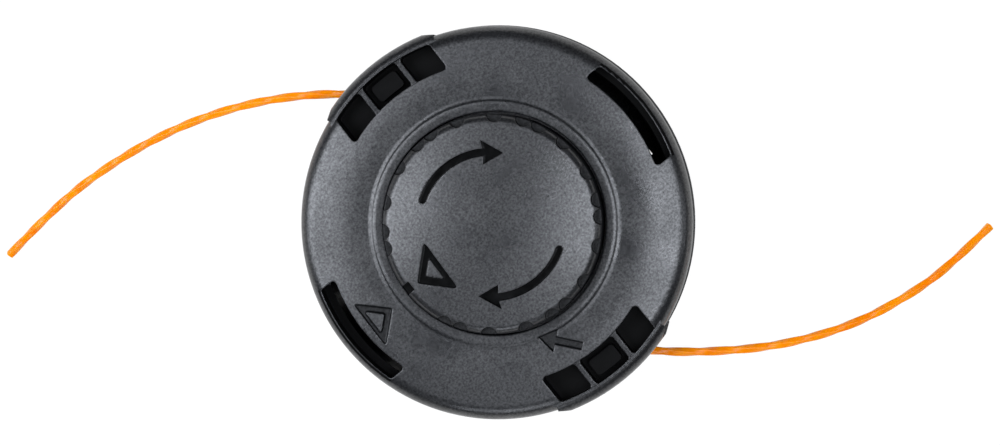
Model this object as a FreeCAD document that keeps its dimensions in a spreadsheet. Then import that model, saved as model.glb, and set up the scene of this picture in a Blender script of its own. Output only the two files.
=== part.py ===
"""Bump feed head of a string trimmer: housing, spring-loaded spool, cover, knob and two line ends.

The drive face lies on z = 0 and the knob points up. The latch slots are on the X axis and the
line mouths on the Y axis. All lengths are millimetres.
"""
import FreeCAD
import Part
import math
import os
import re
import Sketcher
from FreeCAD import Placement, Rotation, Vector

# Driving sizes, one cell each.
SIZES = {
    # drive hub
    "hub_radius": 20.0,
    "hub_depth": 6.0,
    "floor_thickness": 3.0,
    "wall": 2.6,
    "clearance": 0.3,
    "insert_across_flats": 17.0,
    "insert_length": 14.0,
    "insert_bore": 8.647,
    "insert_chamfer": 0.8,
    "insert_groove_depth": 1.2,
    "insert_groove_width": 3.0,
    "spindle_hole": 15.2,
    # spring and washer
    "spring_wire": 1.8,
    "spring_turns": 4.0,
    "washer_thickness": 1.0,
    "seat_gap": 0.1,
    # spool
    "sleeve_wall": 2.0,
    "line_diameter": 2.4,
    "chamber_rows": 3.0,
    "flange_thickness": 2.0,
    "web_thickness": 5.0,
    "tunnel_diameter": 3.8,
    "tunnel_cover": 1.3,
    "winding_depth": 17.4,
    "flange_margin": 6.9,
    "lug_height": 4.0,
    "lug_width": 4.4,
    "lug_ramp": 1.6,
    "bump_travel": 6.0,
    "snap_depth": 1.6,
    "leg_wall": 2.0,
    "key_width": 3.6,
    # eyelets and line mouths
    "eyelet_throat": 3.4,
    "eyelet_lip": 2.5,
    "eyelet_web": 1.5,
    "eyelet_gap": 1.0,
    "seat_wall": 2.2,
    "mouth_depth": 11.6,
    "mouth_half_width": 17.0,
    "mouth_neck": 8.2,
    "mouth_drop": 6.4,
    "mouth_cheek": 3.0,
    "bulge_half_width": 20.9,
    "bulge_height": 1.5,
    "bulge_ramp": 3.6,
    # housing shell
    "rim_proud": 0.3,
    "wall_taper": 2.6,
    "base_round": 10.0,
    "edge_round": 0.5,
    "underside_rib": 2.2,
    "underside_rib_drop": 4.4,
    "drain_length": 3.8,
    "drain_width": 2.2,
    "drain_offset": 11.2,
    "latch_angle": 22.0,
    "latch_low": 4.4,
    "latch_rise": 2.6,
    # cover
    "parting_above_eyelet": 6.2,
    "deck": 2.5,
    "shoulder_round": 5.5,
    "lip_width": 3.0,
    "lip_rise": 2.7,
    "lip_round": 1.3,
    "collar_wall": 2.0,
    "spigot_depth": 6.0,
    "spigot_wall": 2.0,
    "slot_half_length": 17.0,
    "slot_inset": 2.8,
    "slot_width": 5.3,
    "pocket_half_length": 18.0,
    "pocket_inset": 2.1,
    "pocket_width": 9.0,
    "pocket_floor": 2.4,
    "pocket_corner": 1.2,
    "pocket_rib": 1.5,
    "pocket_rib_place": 7.05,
    "pocket_rib_drop": 1.9,
    "pocket_step": 4.0,
    "pocket_step_margin": 1.7,
    # knob
    "knob_radius": 32.6,
    "knob_gap": 0.8,
    "knob_proud": 9.0,
    "knob_edge": 3.0,
    "knob_dome": 2.6,
    "flute_radius": 2.4,
    "flute_reach": 2.3,
    "flute_depth": 2.6,
    "flute_land": 0.3,
    "flute_single_angle": 10.0,
    "notch_width": 2.0,
}

# The cover's face between the lip and the rim, as shares of its width.
CREST_PLACE = 0.35
CREST_RISE = 0.015
CREST_FALL = 0.085
CREST_BEND = 2.6

# Sizes that follow from the driving ones.
DERIVED = {
    "floor_top": "hub_depth + floor_thickness",
    "spool_bottom": "floor_top + clearance + lug_height + bump_travel",
    "lower_chamber": "spool_bottom + flange_thickness",
    "chamber": "chamber_rows * line_diameter",
    "web_bottom": "lower_chamber + chamber",
    "eyelet_height": "web_bottom + web_thickness / 2",
    "web_top": "web_bottom + web_thickness",
    "upper_flange": "web_top + chamber",
    "spool_top": "upper_flange + flange_thickness",
    "cavity_top": "eyelet_height - tunnel_diameter / 2 - tunnel_cover",
    "cup_floor": "eyelet_height + tunnel_diameter / 2 + tunnel_cover",
    "washer_top": "cavity_top - seat_gap",
    "washer_bottom": "washer_top - washer_thickness",
    "post_top": "cavity_top - bump_travel - 2 * clearance",
    "sleeve_bottom": "floor_top + bump_travel + clearance",
    "hex_radius": "insert_across_flats / sqrt(3)",
    "groove_radius": "insert_across_flats / 2 - insert_groove_depth",
    "groove_low": "insert_length / 2 - insert_groove_width / 2",
    "groove_high": "insert_length / 2 + insert_groove_width / 2",
    "post_radius": "hex_radius + wall",
    "sleeve_inner": "post_radius + clearance",
    "sleeve_outer": "sleeve_inner + sleeve_wall",
    "spring_radius": "sleeve_outer + clearance + spring_wire / 2",
    "cavity_radius": "sleeve_outer + 2 * clearance + spring_wire",
    "core_radius": "cavity_radius + wall",
    "winding_radius": "core_radius + winding_depth",
    "flange_radius": "winding_radius + flange_margin",
    "cup_mouth": "cavity_radius - snap_depth",
    "leg_outer": "cup_mouth - clearance",
    "leg_inner": "leg_outer - leg_wall",
    "hook_outer": "cavity_radius - 2 * clearance",
    "hook_top": "upper_flange - seat_gap",
    "leg_bottom": "cup_floor + clearance",
    "eyelet_place": "flange_radius + eyelet_gap + eyelet_lip",
    "eyelet_outer": "eyelet_throat + eyelet_lip",
    "eyelet_groove": "eyelet_throat + eyelet_web",
    "seat_inner": "eyelet_place - seat_wall / 2",
    "seat_outer": "eyelet_place + seat_wall / 2",
    "head_radius": "eyelet_place + mouth_depth",
    "housing_radius": "head_radius + rim_proud",
    "bulge_radius": "head_radius + bulge_height",
    "base_radius": "housing_radius - wall_taper",
    "rim_inner": "housing_radius - wall",
    "base_inner": "base_radius - wall",
    "parting": "eyelet_height + parting_above_eyelet",
    "mouth_floor": "eyelet_height - mouth_drop",
    "latch_bottom": "parting - latch_low",
    "latch_top": "latch_bottom + latch_rise",
    "deck_under": "spool_top + lug_height + clearance",
    "dish_height": "deck_under + deck",
    "lip_height": "dish_height + lip_rise",
    "lip_inner": "knob_radius + knob_gap",
    "lip_outer": "lip_inner + lip_width",
    "face_span": "head_radius - lip_outer",
    "crest_radius": f"lip_outer + face_span * {CREST_PLACE}",
    "crest_height": f"dish_height + face_span * {CREST_RISE}",
    "crest_round": f"face_span * {CREST_BEND}",
    "shoulder_height": f"crest_height - face_span * {CREST_FALL}",
    "collar_outer": "lip_inner + collar_wall",
    "collar_bottom": "spool_top + 2 * clearance",
    "lug_inner": "collar_outer + 2 * clearance",
    "lug_outer": "flange_radius - 1",
    "spigot_outer": "rim_inner - clearance",
    "spigot_taper": "spigot_depth * wall_taper / parting",
    "spigot_inner": "spigot_outer - spigot_taper - spigot_wall",
    "spigot_bottom": "parting - spigot_depth",
    "step_top": "parting + wall",
    "slot_outer": "head_radius - slot_inset",
    "slot_inner": "slot_outer - slot_width",
    "pocket_outer": "head_radius - pocket_inset",
    "pocket_inner": "pocket_outer - pocket_width",
    "pocket_bottom": "parting + pocket_floor",
    "knob_top": "lip_height + knob_proud",
    "dome_radius": "(knob_radius ^ 2 + knob_dome ^ 2) / (2 * knob_dome)",
    "flute_place": "knob_radius - flute_reach + flute_radius",
    "line_radius": "line_diameter / 2",
}

LUG_COUNT = 6
LUG_LEAD = 15
RIB_COUNT = 12
LEG_COUNT = 4
RIDGE_ROUND = 1.15
NOTCH_ANGLE = 180

doc = FreeCAD.newDocument("trimmer_head")
sheet = doc.addObject("Spreadsheet::Sheet", "Dims")
for row, (alias, value) in enumerate(SIZES.items(), start=1):
    sheet.set(f"A{row}", alias)
    sheet.set(f"B{row}", str(value))
    sheet.setAlias(f"B{row}", alias)
doc.recompute()


def bound(text):
    """The expression on the sheet's cells that a text of size names stands for."""
    def cell(match):
        name = match.group(0)
        if name in DERIVED:
            return f"({bound(DERIVED[name])})"
        return f"Dims.{name}" if name in SIZES else name
    return re.sub(r"[a-z][a-z_]+", cell, str(text))


def val(text):
    """The number that a text of size names has now."""
    return float(sheet.evalExpression(bound(text)))


def bind(thing, prop, text):
    """Ties a property to the sheet."""
    thing.setExpression(prop, bound(text))


def new_body(name):
    """An empty body for one sub-part."""
    made = doc.addObject("PartDesign::Body", name)
    made.Label = name
    return made


def new_sketch(body, name, plane="XZ_Plane", shift=("0", "0", "0"), turn=None):
    """A sketch on an origin plane, moved by sheet sizes and turned about one of its own axes."""
    made = body.newObject("Sketcher::SketchObject", name)
    support = next(part for part in body.Origin.OriginFeatures if part.Role == plane)
    made.AttachmentSupport = [(support, "")]
    made.MapMode = "FlatFace"
    axis, angle = turn or (Vector(0, 0, 1), 0)
    made.AttachmentOffset = Placement(Vector(*[val(text) for text in shift]), Rotation(axis, angle))
    for letter, text in zip("xyz", shift):
        if text != "0":
            bind(made, f"AttachmentOffset.Base.{letter}", text)
    return made


def limit(sketch, kind, *places, size):
    """A dimension of a sketch, tied to the sheet."""
    index = sketch.addConstraint(Sketcher.Constraint(kind, *places, val(size)))
    bind(sketch, f"Constraints[{index}]", size)


def pin(sketch, geometry, end, across, up):
    """Fixes one point of a sketch by its two coordinates."""
    for kind, axis, text in (("DistanceX", -2, across), ("DistanceY", -1, up)):
        if abs(val(text)) < 1e-9:
            sketch.addConstraint(Sketcher.Constraint("PointOnObject", geometry, end, axis))
        else:
            limit(sketch, kind, -1, 1, geometry, end, size=text)


def arc(centre, radius, start, end):
    """An arc that runs anticlockwise from one point to another."""
    first = math.atan2(start.y - centre.y, start.x - centre.x)
    last = math.atan2(end.y - centre.y, end.x - centre.x)
    if last <= first:
        last += 2 * math.pi
    return Part.ArcOfCircle(Part.Circle(centre, Vector(0, 0, 1), radius), first, last)


def outline(sketch, corners):
    """A closed outline of straight sides; a corner is (across, up) or (across, up, rounding)."""
    count = len(corners)
    spots = [Vector(val(corner[0]), val(corner[1]), 0) for corner in corners]
    arrive, leave, bends = [], [], []
    for index, (corner, spot) in enumerate(zip(corners, spots)):
        back = (spots[index - 1] - spot).normalize()
        ahead = (spots[(index + 1) % count] - spot).normalize()
        if len(corner) < 3:
            arrive.append(spot)
            leave.append(spot)
            bends.append(None)
            continue
        radius = val(corner[2])
        half = back.getAngle(ahead) / 2
        arrive.append(spot + back * (radius / math.tan(half)))
        leave.append(spot + ahead * (radius / math.tan(half)))
        centre = spot + (back + ahead).normalize() * (radius / math.sin(half))
        left = back.cross(ahead).z < 0
        ends = (arrive[-1], leave[-1]) if left else (leave[-1], arrive[-1])
        bends.append((arc(centre, radius, *ends), left))
    base = sketch.GeometryCount
    for index in range(count):
        sketch.addGeometry(Part.LineSegment(leave[index], arrive[(index + 1) % count]))
    for index, corner in enumerate(corners):
        before = base + (index - 1) % count
        after = base + index
        if bends[index] is None:
            sketch.addConstraint(Sketcher.Constraint("Coincident", before, 2, after, 1))
            pin(sketch, after, 1, corner[0], corner[1])
            continue
        shape, left = bends[index]
        bend = sketch.addGeometry(shape)
        point = sketch.addGeometry(Part.Point(spots[index]), True)
        sketch.addConstraint([
            Sketcher.Constraint("Tangent", before, 2, bend, 1 if left else 2),
            Sketcher.Constraint("Tangent", bend, 2 if left else 1, after, 1),
            Sketcher.Constraint("PointOnObject", point, 1, before),
            Sketcher.Constraint("PointOnObject", point, 1, after),
        ])
        limit(sketch, "Radius", bend, size=corner[2])
        pin(sketch, point, 1, corner[0], corner[1])


def bulge_ends(sketch):
    """The corners outside the slopes at both ends of a line outlet's bulge."""
    foot = "bulge_half_width * housing_radius / bulge_radius"
    top = "bulge_half_width - bulge_ramp"
    for side in ("", "-"):
        outline(sketch, [
            (f"{side}({foot})", f"sqrt((housing_radius + 0.05) ^ 2 - ({foot}) ^ 2)"),
            (f"{side}(bulge_half_width + 3)", "bulge_radius - 3"),
            (f"{side}({top})", f"sqrt((bulge_radius + 0.05) ^ 2 - ({top}) ^ 2)"),
        ])


def ring_piece(sketch, low, high, inner, outer, rounding):
    """A piece of a ring between two parallel ends, with rounded corners; up is outward."""
    x_low, x_high, r_in, r_out, r_bend = [val(text) for text in (low, high, inner, outer, rounding)]
    middle = Vector(0, 0, 0)

    def corner(side, x_end, radius, inward):
        x = x_end - side * r_bend
        reach = radius + inward * r_bend
        centre = Vector(x, math.sqrt(reach ** 2 - x ** 2), 0)
        return centre, Vector(x_end, centre.y, 0), centre * (radius / reach)

    right_in, right_in_side, right_in_ring = corner(1, x_high, r_in, 1)
    right_out, right_out_side, right_out_ring = corner(1, x_high, r_out, -1)
    left_out, left_out_side, left_out_ring = corner(-1, x_low, r_out, -1)
    left_in, left_in_side, left_in_ring = corner(-1, x_low, r_in, 1)
    pieces = [
        Part.LineSegment(right_in_side, right_out_side),
        arc(right_out, r_bend, right_out_side, right_out_ring),
        arc(middle, r_out, right_out_ring, left_out_ring),
        arc(left_out, r_bend, left_out_ring, left_out_side),
        Part.LineSegment(left_out_side, left_in_side),
        arc(left_in, r_bend, left_in_side, left_in_ring),
        arc(middle, r_in, right_in_ring, left_in_ring),
        arc(right_in, r_bend, right_in_ring, right_in_side),
    ]
    first = sketch.GeometryCount
    sketch.addGeometry(pieces)
    joints = [(step, 2, step + 1, 1) for step in range(5)]
    joints += [(5, 2, 6, 2), (6, 1, 7, 1), (7, 2, 0, 1)]
    for one, one_end, two, two_end in joints:
        sketch.addConstraint(Sketcher.Constraint("Tangent", first + one, one_end, first + two, two_end))
    for ring, size in ((2, outer), (6, inner)):
        sketch.addConstraint(Sketcher.Constraint("Coincident", first + ring, 3, -1, 1))
        limit(sketch, "Radius", first + ring, size=size)
    for bend in (1, 3, 5, 7):
        limit(sketch, "Radius", first + bend, size=rounding)
    for side, size in ((0, high), (4, low)):
        sketch.addConstraint(Sketcher.Constraint("Vertical", first + side))
        limit(sketch, "DistanceX", -1, 1, first + side, 1, size=size)


def round_hole(sketch, across, up, radius):
    """A full circle."""
    place = Vector(val(across), val(up), 0)
    made = sketch.addGeometry(Part.Circle(place, Vector(0, 0, 1), val(radius)))
    limit(sketch, "Radius", made, size=radius)
    pin(sketch, made, 3, across, up)


def revolved(body, name, sketch, angle=None, cut=False):
    """Turns a section about the sketch's upright axis, all round or evenly to both sides."""
    made = body.newObject("PartDesign::Groove" if cut else "PartDesign::Revolution", name)
    made.Profile = sketch
    made.ReferenceAxis = (sketch, ["V_Axis"])
    made.Angle = 360
    if angle is not None:
        made.Angle = val(angle)
        made.Midplane = True
        bind(made, "Angle", angle)
    return made


def extruded(body, name, sketch, length, cut=False, both=False, back=False):
    """Pads a sketch, or cuts it, by a length along its normal."""
    made = body.newObject("PartDesign::Pocket" if cut else "PartDesign::Pad", name)
    made.Profile = sketch
    made.Length = val(length)
    bind(made, "Length", length)
    made.SideType = "Symmetric" if both else "One side"
    made.Reversed = back
    return made


def repeated(body, name, features, count, extent=360):
    """Repeats features about the head's axis."""
    made = body.newObject("PartDesign::PolarPattern", name)
    made.Originals = features
    made.Axis = (next(part for part in body.Origin.OriginFeatures if part.Role == "Z_Axis"), [""])
    made.Angle = extent
    made.Occurrences = count
    body.Tip = made
    return made


UPRIGHT = Vector(0, 1, 0)
FLAT = Vector(0, 0, 1)


def lug_ring(body, name, foot, tip, angle):
    """A ring of index lugs, each with one steep flank and one eased one, from foot to tip."""
    along = math.radians(angle)
    place = (f"lug_inner * {math.sin(along):.6f}", "0", f"lug_inner * {math.cos(along):.6f}")
    ease = "lug_ramp" if val(tip) < val(foot) else "-lug_ramp"
    section = new_sketch(body, f"{name}_section", "YZ_Plane", place, (UPRIGHT, angle))
    outline(section, [
        ("-lug_width / 2", foot),
        ("lug_width / 2", foot),
        ("lug_width / 2", tip),
        ("-lug_width / 2 + lug_ramp", tip),
        ("-lug_width / 2", f"{tip} + {ease}"),
    ])
    lug = extruded(body, f"{name}_lug", section, "lug_outer - lug_inner")
    return repeated(body, name, [lug], LUG_COUNT)


# housing
housing = new_body("housing")
section = new_sketch(housing, "housing_section")
outline(section, [
    ("spindle_hole / 2", "0"),
    ("hub_radius", "0", "edge_round"),
    ("hub_radius", "hub_depth", "wall"),
    ("base_radius", "hub_depth", "base_round"),
    ("housing_radius", "parting", "edge_round"),
    ("rim_inner", "parting"),
    ("base_inner", "floor_top", "base_round - wall"),
    ("post_radius", "floor_top", "edge_round"),
    ("post_radius", "post_top", "edge_round"),
    ("spindle_hole / 2", "post_top"),
])
revolved(housing, "shell", section)

hexagon = []
for corner in range(6):
    turn = math.pi / 3 * corner
    hexagon.append((f"hex_radius * {math.cos(turn):.9f}", f"hex_radius * {math.sin(turn):.9f}"))
section = new_sketch(housing, "insert_seat_outline", "XY_Plane")
outline(section, hexagon)
extruded(housing, "insert_seat", section, "insert_length", cut=True, back=True)
section = new_sketch(housing, "insert_key_section")
outline(section, [
    ("groove_radius", "groove_low"),
    ("post_radius - edge_round", "groove_low"),
    ("post_radius - edge_round", "groove_high"),
    ("groove_radius", "groove_high"),
])
revolved(housing, "insert_key", section)

section = new_sketch(housing, "underside_rib_section")
outline(section, [
    ("hub_radius - 1", "hub_depth - underside_rib_drop"),
    ("base_radius - base_round", "hub_depth - 1"),
    ("base_radius - base_round", "hub_depth + 1"),
    ("hub_radius - 1", "hub_depth + 1"),
])
rib = extruded(housing, "underside_rib", section, "underside_rib", both=True)
repeated(housing, "underside_ribs", [rib], RIB_COUNT)

section = new_sketch(housing, "mouth_block_outline", "XY_Plane", ("0", "0", "mouth_floor - wall"))
ring_piece(section, "-mouth_half_width - mouth_cheek", "mouth_half_width + mouth_cheek",
           "seat_inner", "base_radius", "pocket_corner")
block = extruded(housing, "mouth_block", section, "parting - mouth_floor + wall")
section = new_sketch(housing, "mouth_bulge_section", turn=(UPRIGHT, 90))
outline(section, [
    ("base_radius", "mouth_floor - 2 * wall"),
    ("bulge_radius", "mouth_floor - wall", "edge_round"),
    ("bulge_radius", "parting", "edge_round"),
    ("base_radius", "parting"),
])
bulge = revolved(housing, "mouth_bulge", section, "2 * asin(bulge_half_width / bulge_radius)")
section = new_sketch(housing, "mouth_ramp_outline", "XY_Plane", ("0", "0", "parting + 1"))
bulge_ends(section)
ramp = extruded(housing, "mouth_ramp", section, "parting - mouth_floor + 2 * wall + 2", cut=True)
section = new_sketch(housing, "mouth_outline", "XY_Plane", ("0", "0", "parting"))
outline(section, [
    ("mouth_neck", "seat_outer", "eyelet_web"),
    ("mouth_half_width", "head_radius - wall"),
    ("mouth_half_width", "bulge_radius + 1"),
    ("-mouth_half_width", "bulge_radius + 1"),
    ("-mouth_half_width", "head_radius - wall"),
    ("-mouth_neck", "seat_outer", "eyelet_web"),
])
mouth = extruded(housing, "mouth", section, "parting - mouth_floor", cut=True)
section = new_sketch(housing, "eyelet_seat_outline", shift=("0", "0", "-eyelet_place"))
round_hole(section, "0", "eyelet_height", "eyelet_groove + seat_gap")
seat = extruded(housing, "eyelet_seat", section, "2 * seat_wall", cut=True, both=True)
section = new_sketch(housing, "eyelet_way_outline", shift=("0", "0", "-eyelet_place"))
outline(section, [
    ("-eyelet_groove - seat_gap", "eyelet_height"),
    ("eyelet_groove + seat_gap", "eyelet_height"),
    ("eyelet_groove + seat_gap", "parting + 1"),
    ("-eyelet_groove - seat_gap", "parting + 1"),
])
way = extruded(housing, "eyelet_way", section, "2 * seat_wall", cut=True, both=True)
repeated(housing, "mouths", [block, bulge, ramp, mouth, seat, way], 2)

section = new_sketch(housing, "latch_window_section")
outline(section, [
    ("base_inner - wall", "latch_bottom"),
    ("housing_radius + 1", "latch_bottom"),
    ("housing_radius + 1", "latch_top"),
    ("base_inner - wall", "latch_top"),
])
window = revolved(housing, "latch_window", section, "latch_angle", cut=True)
section = new_sketch(housing, "drain_outline", "XY_Plane", ("0", "0", "floor_top + 1"))
for side in ("", "-"):
    middle = f"{side}drain_offset"
    outline(section, [
        ("flange_radius", f"{middle} - drain_width / 2"),
        ("flange_radius + drain_length", f"{middle} - drain_width / 2"),
        ("flange_radius + drain_length", f"{middle} + drain_width / 2"),
        ("flange_radius", f"{middle} + drain_width / 2"),
    ])
drain = extruded(housing, "drain", section, "floor_thickness + 6", cut=True)
repeated(housing, "latch_windows", [window, drain], 2)
lug_ring(housing, "floor_stops", "floor_top - 1", "floor_top + lug_height", 0)

# steel insert with the drive thread's bore
insert = new_body("drive_insert")
section = new_sketch(insert, "insert_outline", "XY_Plane")
outline(section, hexagon)
extruded(insert, "insert_bar", section, "insert_length")
section = new_sketch(insert, "insert_bore_section")
outline(section, [
    ("0", "0"),
    ("insert_bore / 2 + insert_chamfer", "0"),
    ("insert_bore / 2", "insert_chamfer"),
    ("insert_bore / 2", "insert_length - insert_chamfer"),
    ("insert_bore / 2 + insert_chamfer", "insert_length"),
    ("0", "insert_length"),
])
revolved(insert, "insert_hole", section, cut=True)
section = new_sketch(insert, "insert_groove_section")
outline(section, [
    ("groove_radius", "groove_low"),
    ("hex_radius + 1", "groove_low"),
    ("hex_radius + 1", "groove_high"),
    ("groove_radius", "groove_high"),
])
revolved(insert, "insert_groove", section, cut=True)

# spring and thrust washer
spring = new_body("spring")
section = new_sketch(spring, "spring_wire_section")
round_hole(section, "spring_radius", "floor_top + seat_gap + spring_wire / 2", "spring_wire / 2")
coil = spring.newObject("PartDesign::AdditiveHelix", "coil")
coil.Profile = section
coil.ReferenceAxis = (section, ["V_Axis"])
coil.Mode = "height-turns-angle"
bind(coil, "Height", "washer_bottom - floor_top - spring_wire - 2 * seat_gap")
bind(coil, "Turns", "spring_turns")

washer = new_body("thrust_washer")
section = new_sketch(washer, "washer_section")
outline(section, [
    ("sleeve_outer + clearance", "washer_bottom"),
    ("cavity_radius - clearance", "washer_bottom"),
    ("cavity_radius - clearance", "washer_top"),
    ("sleeve_outer + clearance", "washer_top"),
])
revolved(washer, "ring", section)

# spool and the line wound on it
spool = new_body("spool")
section = new_sketch(spool, "spool_section")
outline(section, [
    ("0", "cavity_top"),
    ("sleeve_inner", "cavity_top"),
    ("sleeve_inner", "sleeve_bottom"),
    ("sleeve_outer", "sleeve_bottom"),
    ("sleeve_outer", "cavity_top"),
    ("cavity_radius", "cavity_top"),
    ("cavity_radius", "spool_bottom"),
    ("flange_radius", "spool_bottom", "edge_round"),
    ("flange_radius", "lower_chamber", "edge_round"),
    ("core_radius", "lower_chamber"),
    ("core_radius", "web_bottom"),
    ("flange_radius", "web_bottom", "edge_round"),
    ("flange_radius", "web_top", "edge_round"),
    ("core_radius", "web_top"),
    ("core_radius", "upper_flange"),
    ("flange_radius", "upper_flange", "edge_round"),
    ("flange_radius", "spool_top", "edge_round"),
    ("cup_mouth", "spool_top"),
    ("cup_mouth", "upper_flange"),
    ("cavity_radius", "upper_flange"),
    ("cavity_radius", "cup_floor"),
    ("0", "cup_floor"),
])
revolved(spool, "reel", section)
section = new_sketch(spool, "tunnel_outline")
round_hole(section, "0", "eyelet_height", "tunnel_diameter / 2")
extruded(spool, "tunnel", section, "2 * flange_radius + 2", cut=True, both=True)
section = new_sketch(spool, "key_outline", "XY_Plane", ("0", "0", "cup_floor - 1"))
outline(section, [
    ("leg_inner", "-key_width / 2"),
    ("core_radius - 1", "-key_width / 2"),
    ("core_radius - 1", "key_width / 2"),
    ("leg_inner", "key_width / 2"),
])
key = extruded(spool, "key", section, "spool_top - cup_floor")
repeated(spool, "keys", [key], LEG_COUNT)
lug_ring(spool, "upper_lugs", "spool_top - 1", "spool_top + lug_height", LUG_LEAD)
lug_ring(spool, "lower_lugs", "spool_bottom + 1", "spool_bottom - lug_height", LUG_LEAD)


def winding(name, foot):
    """One chamber's wound line: outer turns show as ridges."""
    body = new_body(name)
    rows = max(1, round(val("chamber_rows")))
    half = f"chamber / {2 * rows}"
    radius = f"{half} * {RIDGE_ROUND}"
    face = "winding_radius - line_radius"
    section = new_sketch(body, f"{name}_section")
    turns = []
    for row in range(rows):
        reach = Vector(0, val(half), 0)
        depth = math.sqrt(val(radius) ** 2 - val(half) ** 2)
        middle = Vector(val(face), val(f"{foot} + chamber * {(2 * row + 1) / (2 * rows)}"), 0)
        turn = arc(middle - Vector(depth, 0, 0), val(radius), middle - reach, middle + reach)
        turns.append(section.addGeometry(turn))
    core_low = Vector(val("core_radius"), val(foot), 0)
    core_high = Vector(val("core_radius"), val(f"{foot} + chamber"), 0)
    face_low = Vector(val(face), core_low.y, 0)
    face_high = Vector(val(face), core_high.y, 0)
    top = section.addGeometry(Part.LineSegment(face_high, core_high))
    back = section.addGeometry(Part.LineSegment(core_high, core_low))
    bottom = section.addGeometry(Part.LineSegment(core_low, face_low))
    loop = [bottom, *turns, top, back]
    for one, two in zip(loop, loop[1:] + loop[:1]):
        section.addConstraint(Sketcher.Constraint("Coincident", one, 2, two, 1))
    pin(section, back, 1, "core_radius", f"{foot} + chamber")
    pin(section, bottom, 1, "core_radius", foot)
    for row, turn in enumerate(turns):
        pin(section, turn, 1, face, f"{foot} + chamber * {row / rows}")
        limit(section, "Radius", turn, size=radius)
    pin(section, top, 1, face, f"{foot} + chamber")
    revolved(body, f"{name}_roll", section)
    return body


winding_lower = winding("line_winding_lower", "lower_chamber")
winding_upper = winding("line_winding_upper", "web_top")


# eyelets
def eyelet(name, side):
    """A grooved eyelet with a bell mouth at both ends, lying along Y."""
    body = new_body(name)
    section = new_sketch(body, f"{name}_section")
    outline(section, [
        ("eyelet_outer", "eyelet_lip"),
        ("eyelet_throat", "eyelet_lip", "eyelet_lip * 0.96"),
        ("eyelet_throat", "-eyelet_lip", "eyelet_lip * 0.96"),
        ("eyelet_outer", "-eyelet_lip"),
        ("eyelet_outer", "-seat_wall / 2 - 2 * clearance"),
        ("eyelet_groove", "-seat_wall / 2 - 2 * clearance"),
        ("eyelet_groove", "seat_wall / 2 + 2 * clearance"),
        ("eyelet_outer", "seat_wall / 2 + 2 * clearance"),
    ])
    revolved(body, f"{name}_ring", section)
    body.Placement = Placement(Vector(0, 0, 0), Rotation(Vector(1, 0, 0), -90))
    bind(body, "Placement.Base.y", f"{side}eyelet_place")
    bind(body, "Placement.Base.z", "eyelet_height")
    return body


eyelet_a = eyelet("eyelet_a", "")
eyelet_b = eyelet("eyelet_b", "-")

# cover
cover = new_body("cover")
section = new_sketch(cover, "cover_section")
outline(section, [
    ("head_radius", "parting", "edge_round"),
    ("head_radius", "shoulder_height", "shoulder_round"),
    ("crest_radius", "crest_height", "crest_round"),
    ("lip_outer + 0.6", "dish_height", "lip_round"),
    ("lip_outer", "lip_height", "lip_round"),
    ("lip_inner", "lip_height", "edge_round"),
    ("lip_inner", "collar_bottom"),
    ("collar_outer", "collar_bottom"),
    ("collar_outer", "deck_under"),
    ("head_radius - wall", "deck_under", "wall"),
    ("head_radius - wall", "step_top"),
    ("spigot_inner", "step_top"),
    ("spigot_inner", "spigot_bottom"),
    ("spigot_outer - spigot_taper", "spigot_bottom"),
    ("spigot_outer", "parting"),
])
revolved(cover, "dish", section)

section = new_sketch(cover, "spigot_gap_outline", "XY_Plane", ("0", "0", "parting"))
ring_piece(section, "-bulge_half_width - wall", "bulge_half_width + wall",
           "spigot_inner - 1", "spigot_outer + clearance", "seat_gap")
gap = extruded(cover, "spigot_gap", section, "spigot_depth + 1", cut=True)
section = new_sketch(cover, "rim_bulge_section", turn=(UPRIGHT, 90))
outline(section, [
    ("pocket_outer", "parting"),
    ("bulge_radius", "parting", "edge_round"),
    ("bulge_radius", "shoulder_height - 1", "shoulder_round - 1"),
    ("crest_radius + 2", "shoulder_height - 0.9"),
    ("crest_radius + 2", "shoulder_height - deck"),
    ("pocket_outer", "shoulder_height - deck - 2"),
])
bulge = revolved(cover, "rim_bulge", section, "2 * asin(bulge_half_width / bulge_radius)")
section = new_sketch(cover, "rim_ramp_outline", "XY_Plane", ("0", "0", "crest_height + 1"))
bulge_ends(section)
ramp = extruded(cover, "rim_ramp", section, "crest_height + 2 - parting", cut=True)
section = new_sketch(cover, "pocket_block_outline", "XY_Plane", ("0", "0", "parting"))
ring_piece(section, "-pocket_half_length - wall", "pocket_half_length + wall",
           "pocket_inner - wall", "pocket_outer + 1", "pocket_corner")
block = extruded(cover, "pocket_block", section, "deck_under + clearance - parting")
section = new_sketch(cover, "pocket_outline", "XY_Plane", ("0", "0", "crest_height + 1"))
rib_near = "pocket_rib_place - pocket_rib / 2"
rib_far = "pocket_rib_place + pocket_rib / 2"
pocket_ends = [
    ("-pocket_half_length", f"-({rib_far})"),
    (f"-({rib_near})", rib_near),
    (rib_far, "pocket_half_length"),
]
for low, high in pocket_ends:
    ring_piece(section, low, high, "pocket_inner", "pocket_outer", "pocket_corner")
pockets = extruded(cover, "pockets", section, "crest_height + 1 - pocket_bottom", cut=True)
section = new_sketch(cover, "rib_top_outline", "XY_Plane", ("0", "0", "crest_height + 1"))
ring_piece(section, "-pocket_half_length", "pocket_half_length",
           "pocket_inner", "pocket_outer", "pocket_corner")
rib_top_depth = "crest_height + 1 - shoulder_height + pocket_rib_drop"
rib_tops = extruded(cover, "rib_tops", section, rib_top_depth, cut=True)
section = new_sketch(cover, "pocket_step_outline", "XY_Plane", ("0", "0", "pocket_bottom - 1"))
ring_piece(section, f"-({rib_near} - pocket_step_margin)", f"{rib_near} - pocket_step_margin",
           "pocket_inner + pocket_step_margin", "pocket_outer - pocket_step_margin", "pocket_corner")
step = extruded(cover, "pocket_step", section, "pocket_step + 1")
section = new_sketch(cover, "eyelet_tongue_outline", "XY_Plane", ("0", "0", "parting + 1"))
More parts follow.
